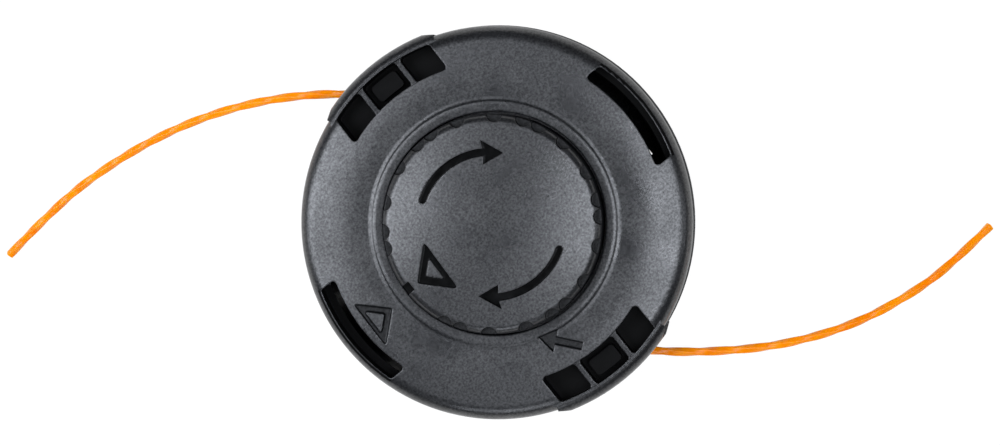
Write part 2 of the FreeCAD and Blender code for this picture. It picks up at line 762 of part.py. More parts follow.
outline(section, [
    ("-eyelet_groove + clearance", "seat_inner + clearance"),
    ("eyelet_groove - clearance", "seat_inner + clearance"),
    ("eyelet_groove - clearance", "seat_outer - clearance"),
    ("-eyelet_groove + clearance", "seat_outer - clearance"),
])
tongue_length = "parting + 1 - eyelet_height - eyelet_groove - seat_gap"
tongue = extruded(cover, "eyelet_tongue", section, tongue_length, back=True)
repeated(cover, "outlets", [gap, bulge, ramp, block, pockets, rib_tops, step, tongue], 2)

section = new_sketch(cover, "slot_outline", "XY_Plane", ("0", "0", "crest_height + 1"), (FLAT, -90))
ring_piece(section, "-slot_half_length", "slot_half_length", "slot_inner", "slot_outer", "pocket_corner")
slot = extruded(cover, "slot", section, "crest_height + 1 - step_top", cut=True)
section = new_sketch(cover, "hook_section")
outline(section, [
    ("spigot_inner + 1", "latch_bottom + clearance"),
    ("housing_radius - wall", "latch_bottom + clearance"),
    ("housing_radius - edge_round", "latch_bottom + 3 * clearance"),
    ("housing_radius - edge_round", "latch_top - clearance"),
    ("spigot_inner + 1", "latch_top - clearance"),
])
hook = revolved(cover, "hook", section, "latch_angle - 2")
section = new_sketch(cover, "hook_slit_outline", "XY_Plane", ("0", "0", "parting"))
for side in ("", "-"):
    middle = f"{side}housing_radius * sin(latch_angle / 2 + 2)"
    outline(section, [
        ("slot_inner", f"{middle} - spigot_wall / 2"),
        ("housing_radius", f"{middle} - spigot_wall / 2"),
        ("housing_radius", f"{middle} + spigot_wall / 2"),
        ("slot_inner", f"{middle} + spigot_wall / 2"),
    ])
slits = extruded(cover, "hook_slits", section, "spigot_depth + 1", cut=True)
repeated(cover, "latches", [slot, hook, slits], 2)
lug_ring(cover, "cover_stops", "deck_under + 1", "deck_under - lug_height", 0)

# knob
knob = new_body("bump_knob")
section = new_sketch(knob, "knob_section")
outline(section, [
    ("0", "knob_top"),
    ("0", "knob_top - wall"),
    ("leg_inner", "knob_top - wall"),
    ("leg_inner", "leg_bottom"),
    ("leg_outer - edge_round", "leg_bottom"),
    ("hook_outer", "hook_top - 2 * edge_round"),
    ("hook_outer", "hook_top"),
    ("leg_outer", "hook_top"),
    ("leg_outer", "knob_top - wall - knob_dome"),
    ("knob_radius - wall", "knob_top - wall - knob_dome"),
    ("knob_radius - wall", "spool_top"),
    ("knob_radius", "spool_top"),
    ("knob_radius", "knob_top"),
])
revolved(knob, "cap", section)
section = new_sketch(knob, "dome_section")
reach = val("knob_radius + 1")
peak = Vector(0, val("knob_top"), 0)
centre = peak - Vector(0, val("dome_radius"), 0)
brink = Vector(reach, centre.y + math.sqrt(val("dome_radius") ** 2 - reach ** 2), 0)
face = section.addGeometry(arc(centre, val("dome_radius"), brink, peak))
axis = section.addGeometry(Part.LineSegment(peak, peak + Vector(0, 2, 0)))
roof = section.addGeometry(Part.LineSegment(Vector(0, peak.y + 2, 0), Vector(reach, peak.y + 2, 0)))
side = section.addGeometry(Part.LineSegment(Vector(reach, peak.y + 2, 0), brink))
for one, two in ((face, axis), (axis, roof), (roof, side), (side, face)):
    section.addConstraint(Sketcher.Constraint("Coincident", one, 2, two, 1))
section.addConstraint(Sketcher.Constraint("PointOnObject", face, 3, -2))
limit(section, "Radius", face, size="dome_radius")
pin(section, axis, 1, "0", "knob_top")
pin(section, roof, 1, "0", "knob_top + 2")
pin(section, side, 1, "knob_radius + 1", "knob_top + 2")
limit(section, "DistanceX", -1, 1, side, 2, size="knob_radius + 1")
dome = revolved(knob, "dome", section, cut=True)
doc.recompute()
rim_edges = [edge for edge in dome.Shape.Edges if abs(edge.BoundBox.XLength - 2 * val("knob_radius")) < 1e-3]
edge = max(rim_edges, key=lambda rim: rim.BoundBox.ZMin)
rounding = knob.newObject("PartDesign::Fillet", "rounded_edge")
rounding.Base = (dome, [f"Edge{[one.isSame(edge) for one in dome.Shape.Edges].index(True) + 1}"])
bind(rounding, "Radius", "knob_edge")
section = new_sketch(knob, "leg_gap_outline", "XY_Plane", ("0", "0", "leg_bottom - 1"))
outline(section, [
    ("leg_inner - 1", "-key_width / 2 - seat_gap"),
    ("cavity_radius", "-key_width / 2 - seat_gap"),
    ("cavity_radius", "key_width / 2 + seat_gap"),
    ("leg_inner - 1", "key_width / 2 + seat_gap"),
])
leg_gap = extruded(knob, "leg_gap", section, "spool_top - leg_bottom + 2", cut=True, back=True)
repeated(knob, "legs", [leg_gap], LEG_COUNT)


# thumb flutes: a close pair at each 30 + 60 k degrees, a wide pair at each 60 k except at the notch
section = new_sketch(knob, "flute_outline", "XY_Plane", ("0", "0", "knob_top"))
for turn in range(0, 360, 60):
    places = [(turn + 30, "asin((flute_radius + flute_land / 2) / flute_place)")]
    if turn != NOTCH_ANGLE:
        places.append((turn, "flute_single_angle * 1deg"))
    for middle, spread in places:
        for sign in ("-", "+"):
            angle = f"({middle}deg {sign} {spread})"
            round_hole(section, f"flute_place * cos({angle})", f"flute_place * sin({angle})", "flute_radius")
extruded(knob, "flutes", section, "knob_dome + flute_depth", cut=True)
section = new_sketch(knob, "notch_outline", "XY_Plane", ("0", "0", "knob_top"))
outline(section, [
    ("-knob_radius - 1", "-notch_width / 2"),
    ("-knob_radius + flute_reach - 1", "-notch_width / 2"),
    ("-knob_radius + flute_reach - 1", "notch_width / 2"),
    ("-knob_radius - 1", "notch_width / 2"),
])
extruded(knob, "notch", section, "knob_dome + flute_depth", cut=True)

# free line ends: offset from the eyelet, and the share of the eyelet's height above the rest height
ROUTE_A = [
    (1.0, -1.2, 1.0),
    (-10.5, 10.9, 0.968),
    (-27.0, 23.0, 0.874),
    (-44.3, 32.1, 0.756),
    (-64.0, 39.0, 0.607),
    (-86.4, 43.3, 0.423),
    (-109.0, 44.7, 0.219),
    (-131.8, 42.7, 0.0),
]
ROUTE_B = [
    (-1.0, 1.2, 1.0),
    (10.2, -11.0, 0.965),
    (26.0, -24.0, 0.858),
    (43.7, -35.6, 0.712),
    (64.0, -44.2, 0.527),
    (84.3, -48.0, 0.329),
    (99.7, -48.4, 0.168),
    (114.8, -46.9, 0.0),
]
REST_GAP = 0.4
BEND = 60.0


def line_end(name, route, side):
    """A line end: straight runs joined by tangent arcs, swept with the line's round section."""
    radius = val("line_radius")
    rest = radius + REST_GAP
    top = val("eyelet_height") - rest
    base = side * val("eyelet_place")
    points = [Vector(x, base + y, rest + top * share) for x, y, share in route]
    edges = []
    start = points[0]
    for before, corner, after in zip(points, points[1:], points[2:]):
        back = (before - corner).normalize()
        ahead = (after - corner).normalize()
        half = back.getAngle(ahead) / 2
        reach = BEND / math.tan(half)
        centre = corner + (back + ahead).normalize() * (BEND / math.sin(half))
        middle = centre + (corner - centre).normalize() * BEND
        one, two = corner + back * reach, corner + ahead * reach
        edges.append(Part.LineSegment(start, one).toShape())
        edges.append(Part.Arc(one, middle, two).toShape())
        start = two
    edges.append(Part.LineSegment(start, points[-1]).toShape())
    path = Part.Wire(edges)
    ring = Part.Wire(Part.makeCircle(radius, points[0], points[1] - points[0]))
    tube = path.makePipeShell([ring], True, False)
    made = doc.addObject("Part::Feature", name)
    made.Label = name
    made.Shape = Part.Solid(tube) if tube.ShapeType == "Shell" else tube
    wanted = math.pi * radius ** 2 * path.Length
    ratio = made.Shape.Volume / wanted
    print(f"{name}: radius {radius:.2f}, length {path.Length:.1f}, volume ratio {ratio:.4f}")
    return made


line_a = line_end("line_a", ROUTE_A, 1)
line_b = line_end("line_b", ROUTE_B, -1)

doc.recompute()

for thing in doc.Objects:
    if "Invalid" in thing.State or "Error" in thing.State:
        raise RuntimeError(f"{thing.Name} has state {thing.State}")
os.makedirs("parts", exist_ok=True)
PARTS = [housing, insert, spring, washer, spool, winding_lower, winding_upper, eyelet_a, eyelet_b]
PARTS += [cover, knob, line_a, line_b]
for thing in PARTS:
    if thing.Shape.isNull() or not thing.Shape.isValid():
        raise RuntimeError(f"{thing.Label} has no valid shape")
    if len(thing.Shape.Solids) != 1:
        raise RuntimeError(f"{thing.Label} is {len(thing.Shape.Solids)} solids")
    thing.Shape.exportStep(os.path.join("parts", f"{thing.Label}.step"))
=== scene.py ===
import math

import bmesh
import bpy
from mathutils import Matrix, Vector


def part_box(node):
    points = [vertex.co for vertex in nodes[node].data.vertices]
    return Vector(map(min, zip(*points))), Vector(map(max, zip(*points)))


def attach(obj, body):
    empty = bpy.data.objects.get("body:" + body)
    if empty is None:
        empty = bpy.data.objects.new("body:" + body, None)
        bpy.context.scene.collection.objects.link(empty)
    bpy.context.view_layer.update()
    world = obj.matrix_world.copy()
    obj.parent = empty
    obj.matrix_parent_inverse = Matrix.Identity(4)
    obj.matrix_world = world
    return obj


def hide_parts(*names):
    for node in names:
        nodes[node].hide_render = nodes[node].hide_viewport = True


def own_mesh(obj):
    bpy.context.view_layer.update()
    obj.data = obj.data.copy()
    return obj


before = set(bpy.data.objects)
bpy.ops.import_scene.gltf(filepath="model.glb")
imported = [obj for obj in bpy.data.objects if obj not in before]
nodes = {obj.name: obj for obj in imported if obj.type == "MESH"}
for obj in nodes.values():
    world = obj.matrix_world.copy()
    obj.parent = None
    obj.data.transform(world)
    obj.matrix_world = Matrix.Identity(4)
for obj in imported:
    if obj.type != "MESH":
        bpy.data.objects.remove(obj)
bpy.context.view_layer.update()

scene = bpy.context.scene
MM = 0.001

# Camera: the photograph's eye point, aim and upward direction in the row frame, in millimetres.
EYE = Vector((98.37, -36.47, 1034.56)) * MM
AIM = Vector((0.588, -0.497, 40.0)) * MM
UPWARD = Vector((0.625, 0.780, 0.0))
RIGHTWARD = Vector((0.780, -0.625, 0.0))
LENS = 119.65
SENSOR = 36.0
VIEW_REACH = 20

# Route points of the two free line ends, in millimetres.
ROUTE_A = [
    (1.0, 46.315, 31.0),
    (-10.5, 58.415, 30.059),
    (-27.0, 70.515, 27.296),
    (-44.3, 79.615, 23.826),
    (-64.0, 86.515, 19.446),
    (-86.4, 90.815, 14.036),
    (-109.0, 92.215, 8.039),
    (-131.8, 90.215, 1.6),
]
ROUTE_B = [
    (-1.0, -46.315, 31.0),
    (10.2, -58.515, 29.971),
    (26.0, -71.515, 26.825),
    (43.7, -83.115, 22.533),
    (64.0, -91.715, 17.094),
    (84.3, -95.515, 11.273),
    (99.7, -95.915, 6.539),
    (114.8, -94.415, 1.6),
]


def link(obj):
    scene.collection.objects.link(obj)
    return obj


def place_camera():
    data = bpy.data.cameras.new("camera")
    data.lens = LENS
    data.sensor_width = SENSOR
    data.sensor_fit = "HORIZONTAL"
    data.clip_end = VIEW_REACH
    camera = link(bpy.data.objects.new("camera", data))
    back = (EYE - AIM).normalized()
    right = UPWARD.cross(back).normalized()
    upper = back.cross(right)
    turn = Matrix((right, upper, back)).transposed().to_4x4()
    camera.matrix_world = Matrix.Translation(EYE) @ turn
    scene.camera = camera


# Materials: depths and radii in metres, noise scales in cells per metre.

# How far a face's normal points up or down: less than UPRIGHT on walls, more than LEANING elsewhere.
UPRIGHT = 0.04
LEANING = 0.16
WALL_ROUGHNESS = 0.7
WALL_GLOSS = 0.06
GRAIN_SCALE = 1500
FINE_GRAIN_SCALE = 3400
CLOUD_SCALE = 85
DRIFT_SCALE = 20
SMOOTH_CLOUD_SCALE = 240
STREAK_SCALE = 420
PATCH_SCALE = 90
TOOL_MARK_SCALE = 900
OXIDE_SCALE = 140
GRAIN_DEPTH = 0.2 * MM
MARK_DEPTH = 0.1 * MM
MOULDED_EDGE = 0.6 * MM
RECESS_EDGE = 0.3 * MM
METAL_EDGE = 0.2 * MM
EDGE_SAMPLES = 6

# The span that most values of a noise lie in, and the strengths of what the noises change.
NOISE_SPAN = (0.3, 0.7)
FINE_GRAIN_SHARE = 0.4
DRIFT_SWING = 0.04
DULLEST_SPECK = 0.34
SMOOTH_BUMP = 0.12
PALER = 1.8
STREAK_SHARE = 0.45
PATCH_SHARE = 0.55
LINE_BUMP = 0.08
LINE_SHINE = (0.16, 0.26)
METAL_BUMP = 0.2
DULLER = 0.6

# Places of the colour sockets of a mix node.
MIX_COLOURS = (6, 7)
MIX_RESULT = 2


class Shader:
    """A node tree with short calls for the nodes that the finishes use."""

    def __init__(self, name):
        self.material = bpy.data.materials.new(name)
        self.material.use_nodes = True
        self.tree = self.material.node_tree
        self.base = self.tree.nodes["Principled BSDF"]
        self.place = self.tree.nodes.new("ShaderNodeTexCoord").outputs["Object"]

    def join(self, source, target):
        self.tree.links.new(source, target)

    def noise(self, scale, detail=2.0, roughness=0.5, stretch=None):
        node = self.tree.nodes.new("ShaderNodeTexNoise")
        node.inputs["Scale"].default_value = scale
        node.inputs["Detail"].default_value = detail
        node.inputs["Roughness"].default_value = roughness
        source = self.place
        if stretch:
            mapping = self.tree.nodes.new("ShaderNodeMapping")
            mapping.inputs["Scale"].default_value = stretch
            self.join(source, mapping.inputs["Vector"])
            source = mapping.outputs["Vector"]
        self.join(source, node.inputs["Vector"])
        return node.outputs["Fac"]

    def range(self, source, low, high, to_low, to_high):
        node = self.tree.nodes.new("ShaderNodeMapRange")
        node.inputs["From Min"].default_value = low
        node.inputs["From Max"].default_value = high
        node.inputs["To Min"].default_value = to_low
        node.inputs["To Max"].default_value = to_high
        self.join(source, node.inputs["Value"])
        return node.outputs["Result"]

    def math(self, operation, first, second):
        node = self.tree.nodes.new("ShaderNodeMath")
        node.operation = operation
        for socket, value in zip(node.inputs, (first, second)):
            if isinstance(value, (int, float)):
                socket.default_value = value
            else:
                self.join(value, socket)
        return node.outputs["Value"]

    def ramp(self, source, *stops):
        node = self.tree.nodes.new("ShaderNodeValToRGB")
        elements = node.color_ramp.elements
        while len(elements) < len(stops):
            elements.new(0.5)
        for element, (position, colour) in zip(elements, stops):
            element.position = position
            element.color = (*colour, 1.0)
        self.join(source, node.inputs["Fac"])
        return node.outputs["Color"]

    def mix(self, share, first, second):
        node = self.tree.nodes.new("ShaderNodeMix")
        node.data_type = "RGBA"
        self.join(share, node.inputs["Factor"])
        for place, colour in zip(MIX_COLOURS, (first, second)):
            node.inputs[place].default_value = (*colour, 1.0)
        return node.outputs[MIX_RESULT]

    def bump(self, height, strength, distance, below=None):
        node = self.tree.nodes.new("ShaderNodeBump")
        node.inputs["Strength"].default_value = strength
        node.inputs["Distance"].default_value = distance
        self.join(height, node.inputs["Height"])
        if below is not None:
            self.join(below, node.inputs["Normal"])
        return node.outputs["Normal"]

    def bevel(self, radius):
        node = self.tree.nodes.new("ShaderNodeBevel")
        node.samples = EDGE_SAMPLES
        node.inputs["Radius"].default_value = radius
        return node.outputs["Normal"]

    def steepness(self):
        """One on upright walls, nought on faces that lean or lie flat."""
        split = self.tree.nodes.new("ShaderNodeSeparateXYZ")
        normal = self.tree.nodes.new("ShaderNodeNewGeometry").outputs["Normal"]
        self.join(normal, split.inputs["Vector"])
        return self.range(self.math("ABSOLUTE", split.outputs["Z"], 0.0), UPRIGHT, LEANING, 1.0, 0.0)

    def finish(self, **sockets):
        for name, value in sockets.items():
            socket = self.base.inputs[name.replace("_", " ").title().replace("Ior", "IOR")]
            if isinstance(value, bpy.types.NodeSocket):
                self.join(value, socket)
            else:
                socket.default_value = value
        return self.material


def moulded_nylon(name, dark, pale, low, high, grain, gloss=1.0):
    """Glass-filled black nylon: a fine speckle, cloudy flow marks and softened edges."""
    s = Shader(name)
    speck = s.noise(GRAIN_SCALE, detail=2.0, roughness=0.6)
    fine = s.noise(FINE_GRAIN_SCALE, detail=2.0, roughness=0.6)
    cloud = s.noise(CLOUD_SCALE, detail=2.0, roughness=0.5)
    drift = s.noise(DRIFT_SCALE, detail=3.0, roughness=0.5)
    tone = s.math("ADD", s.range(speck, 0.36, 0.66, 0.0, 0.6), s.range(cloud, 0.34, 0.68, 0.0, 0.4))
    colour = s.ramp(tone, (0.0, dark), (1.0, pale))
    steep = s.steepness()
    swing = s.range(drift, *NOISE_SPAN, DRIFT_SWING, -DRIFT_SWING)
    shine = s.math("ADD", s.range(cloud, *NOISE_SPAN, high, low), swing)
    shine = s.math("MAXIMUM", shine, s.math("MULTIPLY", steep, WALL_ROUGHNESS))
    height = s.math("ADD", speck, s.math("MULTIPLY", fine, FINE_GRAIN_SHARE))
    normal = s.bump(height, grain, GRAIN_DEPTH, s.bevel(MOULDED_EDGE))
    sparkle = s.range(speck, 0.25, 0.75, DULLEST_SPECK * gloss, gloss)
    level = s.math("MULTIPLY", sparkle, s.range(steep, 0.0, 1.0, 1.0, WALL_GLOSS))
    return s.finish(base_color=colour, roughness=shine, normal=normal, specular_ior_level=level)


def smooth_black_painted_shade(name, colour, low, high, level):
    """An ungrained black for recess floors and pocket walls, a little uneven in its shine; its colour
    is darker than the faces round it, which is painted shade in these hollows.
    """
    s = Shader(name)
    cloud = s.noise(SMOOTH_CLOUD_SCALE, detail=3.0, roughness=0.6)
    normal = s.bump(cloud, SMOOTH_BUMP, GRAIN_DEPTH, s.bevel(RECESS_EDGE))
    tint = s.mix(s.range(cloud, 0.35, 0.7, 0.0, 1.0), colour, tuple(PALER * c for c in colour))
    shine = s.range(cloud, *NOISE_SPAN, low, high)
    return s.finish(base_color=tint, roughness=shine, normal=normal, specular_ior_level=level)


def line_nylon(name):
    """Orange co-polymer line, clear enough to glow, with drawn streaks and paler patches."""
    s = Shader(name)
    streak = s.noise(STREAK_SCALE, detail=2.0, roughness=0.5)
    patch = s.noise(PATCH_SCALE, detail=3.0, roughness=0.5)
    streaks = s.math("MULTIPLY", streak, STREAK_SHARE)
    patches = s.math("MULTIPLY", patch, PATCH_SHARE)
    colour = s.ramp(
        s.math("ADD", streaks, patches),
        (0.30, (0.76, 0.135, 0.0002)),
        (0.52, (0.86, 0.21, 0.0002)),
        (0.75, (0.92, 0.265, 0.0004)),
    )
    normal = s.bump(streak, LINE_BUMP, MARK_DEPTH)
    shine = s.range(patch, *NOISE_SPAN, *LINE_SHINE)
    return s.finish(base_color=colour, roughness=shine, normal=normal, subsurface_weight=0.2,
                    specular_ior_level=0.18)


def machined_steel(name, colour, stretch, low, high):
    """Bright steel with turned or drawn marks and a little dull oxide."""
    s = Shader(name)
    marks = s.noise(TOOL_MARK_SCALE, detail=3.0, roughness=0.6, stretch=stretch)
    dull = s.noise(OXIDE_SCALE, detail=4.0, roughness=0.6)
    tint = s.mix(s.range(dull, 0.4, 0.75, 0.0, 0.6), colour, tuple(DULLER * c for c in colour))
    normal = s.bump(marks, METAL_BUMP, MARK_DEPTH, s.bevel(METAL_EDGE))
    shine = s.range(marks, *NOISE_SPAN, low, high)
    return s.finish(base_color=tint, metallic=1.0, roughness=shine, normal=normal)


FACE_DARK = (0.0026, 0.0028, 0.0034)
FACE_PALE = (0.012, 0.0125, 0.014)
# These two are darker than the face colours: painted shade for the cover's sign floors and the flute
# floors.
PAINTED_SHADE_DARK = (0.0016, 0.0017, 0.002)
PAINTED_SHADE_PALE = (0.006, 0.0063, 0.007)
SPOOL_DARK = (0.018, 0.018, 0.020)
SPOOL_PALE = (0.05, 0.05, 0.053)
BLACK = moulded_nylon("black_nylon", FACE_DARK, FACE_PALE, low=0.25, high=0.34, grain=0.14)
KNOB_BLACK = moulded_nylon("knob_nylon", FACE_DARK, FACE_PALE, low=0.25, high=0.33, grain=0.13)
# The knob's sign floors, the cover's sign floors, the flute floors and the pocket walls get darker
# colours than the faces round them: painted shade in these hollows.
SIGN_PAINTED_SHADE = smooth_black_painted_shade("sign_floor", (0.0016, 0.0017, 0.0018), low=0.12, high=0.22, level=0.2)
COVER_SIGN_PAINTED_SHADE = moulded_nylon("cover_sign_floor", PAINTED_SHADE_DARK, PAINTED_SHADE_PALE,
                           low=0.34, high=0.44, grain=0.2, gloss=0.36)
FLUTE_PAINTED_SHADE = moulded_nylon("flute_floor", PAINTED_SHADE_DARK, PAINTED_SHADE_PALE,
                            low=0.34, high=0.44, grain=0.14, gloss=0.3)
POCKET_PAINTED_SHADE = smooth_black_painted_shade("pocket_wall", (0.0014, 0.0014, 0.0014), low=0.4, high=0.5, level=0.06)
SPOOL_BLACK = moulded_nylon("spool_nylon", SPOOL_DARK, SPOOL_PALE, low=0.3, high=0.42, grain=0.25)
ORANGE = line_nylon("line")
STEEL = machined_steel("steel", (0.56, 0.56, 0.57), stretch=(1, 1, 6), low=0.25, high=0.42)
WIRE = machined_steel("spring_steel", (0.42, 0.42, 0.44), stretch=(1, 1, 3), low=0.22, high=0.36)
ALLOY = machined_steel("eyelet", (0.78, 0.78, 0.80), stretch=(1, 1, 8), low=0.16, high=0.30)


def paint(obj, material):
    if obj.material_slots:
        for entry in obj.material_slots:
            entry.material = material
    else:
        obj.data.materials.append(material)


# Geometry helpers: CORNER_LIMIT is the largest share of a side that a rounded corner takes.

CORNER_LIMIT = 0.45
CORNER_STEPS = 4
WELD_DISTANCE = 0.002 * MM
SHARP_ANGLE = 32.0


def new_mesh(name, points, faces):
    mesh = bpy.data.meshes.new(name)
    mesh.from_pydata([tuple(p) for p in points], [], faces)
    mesh.validate()
    return link(bpy.data.objects.new(name, mesh))


def wrapped(rings, count, start=0):
    """Quads between rings of that many corners each, from the corner at start."""
    faces = []
    for ring in range(rings - 1):
        low = start + ring * count
        for k in range(count):
            n = (k + 1) % count
            faces.append([low + k, low + n, low + count + n, low + count + k])
    return faces


def plate(name, loops, ring=False):
    """A closed solid through outlines of as many corners, each at a height, in millimetres."""
    count = len(loops[0][0])
    points = [Vector((x, y, z)) * MM for outline, z in loops for x, y in outline]
    faces = []
    for low in range(len(loops) if ring else len(loops) - 1):
        high = (low + 1) % len(loops)
        for i in range(count):
            j = (i + 1) % count
            faces.append([low * count + i, low * count + j, high * count + j, high * count + i])
    if not ring:
        faces += [list(range(count)), list(range(len(points) - count, len(points)))]
    return aligned(new_mesh(name, points, faces))


def sunk(outline, floor, face, clear, draft):
    """The loops of a recess whose walls lean out from its floor up to the face."""
    return [(inset(outline, draft), floor), (outline, face), (outline, clear)]


def inset(outline, amount):
    """An outline that runs counterclockwise, moved inward by that much."""
    result = []
    count = len(outline)
    for i in range(count):
        here = Vector(outline[i])
        along = Vector(outline[(i + 1) % count]) - Vector(outline[i - 1])
        inward = Vector((-along.y, along.x)).normalized()
        result.append(tuple(here + inward * amount))
    return result


def aligned(obj):
    work = bmesh.new()
    work.from_mesh(obj.data)
    bmesh.ops.recalc_face_normals(work, faces=work.faces)
    work.to_mesh(obj.data)
    work.free()
    return obj


def smooth(mesh, angle=SHARP_ANGLE):
    mesh.shade_smooth()
    mesh.set_sharp_from_angle(angle=math.radians(angle))


def rounded(corners, radius):
    """The corners of a convex or concave outline, each rounded."""
    result = []
    count = len(corners)
    for i in range(count):
        before = Vector(corners[i - 1])
        here = Vector(corners[i])
        after = Vector(corners[(i + 1) % count])
        back = (before - here).normalized()
        forth = (after - here).normalized()
        half = back.angle(forth) / 2
        shorter = min((before - here).length, (after - here).length)
        reach = min(radius / math.tan(half), CORNER_LIMIT * shorter)
        start = here + back * reach
        end = here + forth * reach
        for k in range(CORNER_STEPS + 1):
            t = k / CORNER_STEPS
            result.append(tuple((1 - t) ** 2 * start + 2 * t * (1 - t) * here + t ** 2 * end))
    return result


def turned(outline, degrees):
    a = math.radians(degrees)
    return [(x * math.cos(a) - y * math.sin(a), x * math.sin(a) + y * math.cos(a)) for x, y in outline]


def dressed(node, name, body, material, cutters, floor, hollow, inside, reshape=None):
    """A copy of a CAD node that stands for it, with the cutters taken out of it.

    The cuts get the finish floor, and faces whose middle is in the hollow get the finish inside: darker
    colours that paint shade into these recesses and hollows.
    Where reshape is given, it first moves the points of the copy.
    """
    mesh = nodes[node].data.copy()
    mesh.materials.clear()
    mesh.materials.append(material)
    mesh.polygons.foreach_set("material_index", [0] * len(mesh.polygons))
    if "custom_normal" in mesh.attributes:
        mesh.attributes.remove(mesh.attributes["custom_normal"])
    work = bmesh.new()
    work.from_mesh(mesh)
    bmesh.ops.remove_doubles(work, verts=work.verts, dist=WELD_DISTANCE)
    if reshape:
        for vert in work.verts:
            vert.co = reshape(vert.co / MM) * MM
    work.to_mesh(mesh)
    work.free()
    obj = link(bpy.data.objects.new(name, mesh))
    # The cut faces take the floor finish, darker than the face: painted shade.
    for cutter in cutters:
        paint(cutter, floor)
        cut = obj.modifiers.new(cutter.name, "BOOLEAN")
        cut.operation = "DIFFERENCE"
        cut.solver = "EXACT"
        cut.material_mode = "TRANSFER"
        cut.object = cutter
    graph = bpy.context.evaluated_depsgraph_get()
    obj.data = bpy.data.meshes.new_from_object(obj.evaluated_get(graph))
    obj.modifiers.clear()
    obj.data.name = name
    for cutter in cutters:
        bpy.data.objects.remove(cutter)
    smooth(obj.data)
    # Faces in the hollow take the inside finish, darker than the face: painted shade.
    obj.data.materials.append(inside)
    for face in obj.data.polygons:
        if hollow(face.center / MM):
            face.material_index = len(obj.data.materials) - 1
    weigh = obj.modifiers.new("even_normals", "WEIGHTED_NORMAL")
    weigh.keep_sharp = True
    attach(obj, body)
    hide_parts(node)


# Signs on the knob and the cover, in millimetres and degrees.

ARROW_STEPS = 22
TAIL_STEPS = 8
BARB_SWEEP = 1.0
KNOB_TRIANGLE = [(-28.1, 0.1), (-19.3, -8.9), (-18.7, 8.6)]
COVER_TRIANGLE = [(-39.7, -0.7), (-48.6, 8.1), (-48.8, -8.8)]
KNOB_NOTCH = [(-34.0, -0.9), (-29.9, -0.9), (-29.9, 2.2), (-34.0, 2.2)]
CORNER_ROUND = 0.8
LAND_ROUND = 0.4
CLEARANCE = 2.0

# Depths below the highest point of the knob or the cover, which is above the face that has the sign.
KNOB_SIGN_DEPTH = 3.4
KNOB_WALL_DEPTH = 1.7
COVER_SIGN_DEPTH = 3.6
COVER_WALL_DEPTH = 2.7
NOTCH_DEPTH = 6.6

# Levels of a cutter: the floor of the sign, where its leaning wall ends, and a place clear of the face.
knob_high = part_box("bump_knob")[1].z / MM
cover_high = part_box("cover")[1].z / MM
KNOB_LEVELS = (knob_high - KNOB_SIGN_DEPTH, knob_high - KNOB_WALL_DEPTH, knob_high + CLEARANCE)
COVER_LEVELS = (cover_high - COVER_SIGN_DEPTH, cover_high - COVER_WALL_DEPTH, cover_high + CLEARANCE)
NOTCH_LEVELS = (knob_high - NOTCH_DEPTH, knob_high + CLEARANCE)


def curved_arrow(radius, tail, base, tip, shaft, head):
    """The outline of an arrow along a circle, clockwise from tail to tip, with a round tail."""
    half = shaft / 2

    def polar(r, degrees):
        a = math.radians(degrees)
        return (r * math.cos(a), r * math.sin(a))

    angles = [tail + (base - tail) * k / ARROW_STEPS for k in range(ARROW_STEPS + 1)]
    outer = [polar(radius + half, a) for a in angles]
    inner = [polar(radius - half, a) for a in reversed(angles)]
    centre = Vector(polar(radius, tail))
    tangent = math.radians(tail + 90)
    cap = []
    for k in range(1, TAIL_STEPS):
        a = tangent + math.pi / 2 - math.pi * k / TAIL_STEPS
        cap.append((centre.x + half * math.cos(a), centre.y + half * math.sin(a)))
    swept = base + BARB_SWEEP
    barb = [polar(radius + head / 2, swept), polar(radius, tip), polar(radius - head / 2, swept)]
    return outer + barb + inner + cap


def straight_arrow(tail, tip, shaft, head_width, head_length):
    tail = Vector(tail)
    tip = Vector(tip)
    along = (tip - tail).normalized()
    side = Vector((-along.y, along.x))
    base = tip - along * head_length
    corners = [
        tail + side * shaft / 2,
        tail - side * shaft / 2,
        base - side * shaft / 2,
        base - side * head_width / 2,
        tip,
        base + side * head_width / 2,
        base + side * shaft / 2,
    ]
    return [tuple(c) for c in corners]


def shrunk(corners, share):
    centre = sum((Vector(c) for c in corners), Vector((0, 0))) / len(corners)
    return [tuple(centre + (Vector(c) - centre) * share) for c in corners]


def recess(name, outline, levels, draft, land=None):
    """A cutter for a sign; land is the outline of what stays in its middle, if anything does."""
    loops = sunk(outline, *levels, draft)
    if land:
        loops += sunk(land, *levels, -draft)[::-1]
    return plate(name, loops, ring=bool(land))


def triangle_recess(name, corners, levels, share, draft):
    """A cutter for a triangle round a land of that share of its size."""
    land = rounded(shrunk(corners, share), LAND_ROUND)
    return recess(name, rounded(corners, CORNER_ROUND), levels, draft, land)


def knob_cutters():
    arrow = curved_arrow(radius=21.5, tail=121.5, base=57.5, tip=41.5, shaft=2.3, head=7.2)[::-1]
    return [
        recess("arrow_one", arrow, KNOB_LEVELS, draft=0.2),
        recess("arrow_two", turned(arrow, 180), KNOB_LEVELS, draft=0.2),
        plate("knob_notch", [(KNOB_NOTCH, level) for level in NOTCH_LEVELS]),
        triangle_recess("knob_sign", KNOB_TRIANGLE, KNOB_LEVELS, share=0.43, draft=0.25),
    ]


def cover_cutters():
    tail = (-2.2, -44.9)
    tip = (-10.9, -34.5)
    arrow = straight_arrow(tail, tip, shaft=2.6, head_width=7.2, head_length=5.4)
    return [
        triangle_recess("cover_sign", COVER_TRIANGLE, COVER_LEVELS, share=0.46, draft=0.5),
        recess("cover_arrow", arrow, COVER_LEVELS, draft=0.45),
    ]


# Places on the knob and the cover that get painted shade or a changed form, in millimetres.

